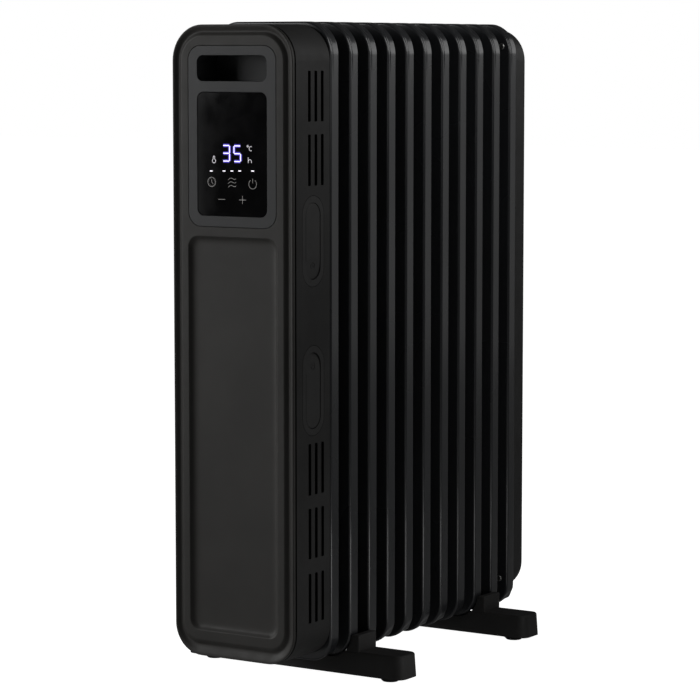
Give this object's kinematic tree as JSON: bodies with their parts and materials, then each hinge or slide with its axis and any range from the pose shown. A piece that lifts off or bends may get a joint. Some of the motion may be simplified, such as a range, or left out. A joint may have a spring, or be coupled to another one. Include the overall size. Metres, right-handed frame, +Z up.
{
  "type": "oil filled radiator heater",
  "caption": "Free-standing oil filled radiator: pressed fins in a row, a slim control box with touch display and handle recess, flip-out cord hooks and two cross feet.",
  "frame": {"origin": "on the floor, under the middle of the heater's length and width", "axes": "+Z up, -Y towards the control box and its display, +X towards the side with the cord hooks"},
  "size_m": [0.2538, 0.4444, 0.635],
  "materials": {
    "front_shell": "fine matte moulded texture",
    "side_shell": "fine matte moulded texture",
    "hook_plastic": "fine matte moulded texture",
    "fascia": "satin",
    "display": "gloss",
    "fin_enamel": "satin enamel",
    "foot_plastic": "fine matte moulded texture",
    "pad_rubber": "matte",
    "zinc_steel": "zinc plated",
    "circuit_board": "solder resist",
    "dark_component": "matte",
    "terminal_ceramic": "glazed",
    "element_sheath": "heat tinted",
    "pendulum_brass": "turned"
  },
  "bodies": {
    "radiator": {"air_sensor": "dark_component", "board_standoffs": "zinc_steel", "case_screws": "zinc_steel", "control_housing": "side_shell", "cord_gland": "pad_rubber", "cover_brackets": "zinc_steel", "cover_rivets": "zinc_steel", "cover_screws": "zinc_steel", "digit_module": "dark_component", "display_board": "circuit_board", "display_carrier": "dark_component", "display_glass": "display", "earth_stud": "zinc_steel", "element_terminals": "terminal_ceramic", "end_cover": "side_shell", "fascia_bezel": "fascia", "filler_plug": "zinc_steel", "fin_01": "fin_enamel", "fin_02": "fin_enamel", "fin_03": "fin_enamel", "fin_04": "fin_enamel", "fin_05": "fin_enamel", "fin_06": "fin_enamel", "fin_07": "fin_enamel", "fin_08": "fin_enamel", "fin_09": "fin_enamel", "fin_10": "fin_enamel", "fin_11": "fin_enamel", "foot_front": "foot_plastic", "foot_pads": "pad_rubber", "foot_rear": "foot_plastic", "foot_u_bolts": "zinc_steel", "front_panel": "front_shell", "glass_gasket": "pad_rubber", "handle_cup": "fascia", "header_plugs": "fin_enamel", "heat_shield": "zinc_steel", "heater_hub": "zinc_steel", "heating_element": "element_sheath", "hook_pins": "zinc_steel", "hook_seat_lower": "hook_plastic", "hook_seat_upper": "hook_plastic", "lower_collars": "fin_enamel", "power_board": "circuit_board", "power_relays": "dark_component", "supply_module": "dark_component", "terminal_block": "terminal_ceramic", "thermal_cutout": "terminal_ceramic", "tip_pin": "zinc_steel", "tip_switch_frame": "dark_component", "touch_springs": "zinc_steel", "upper_collars": "fin_enamel", "wing_nuts": "zinc_steel"},
    "upper_hook": {"hook_upper": "hook_plastic"},
    "lower_hook": {"hook_lower": "hook_plastic"},
    "tip_weight": {"tip_pendulum": "pendulum_brass"}
  },
  "joints": [
    {"name": "upper_hook_swing", "type": "hinge", "parent": "radiator", "child": "upper_hook", "pos_m": [0.0645, -0.1881, 0.41585], "axis": [0, 1, 0], "range_deg": [0, 90]},
    {"name": "lower_hook_swing", "type": "hinge", "parent": "radiator", "child": "lower_hook", "pos_m": [0.0645, -0.1881, 0.3023], "axis": [0, -1, 0], "range_deg": [0, 90]},
    {"name": "tip_weight_swing", "type": "hinge", "parent": "radiator", "child": "tip_weight", "pos_m": [-0.014, -0.1875, 0.322], "axis": [0, 1, 0], "range_deg": [-20, 20]}
  ]
}
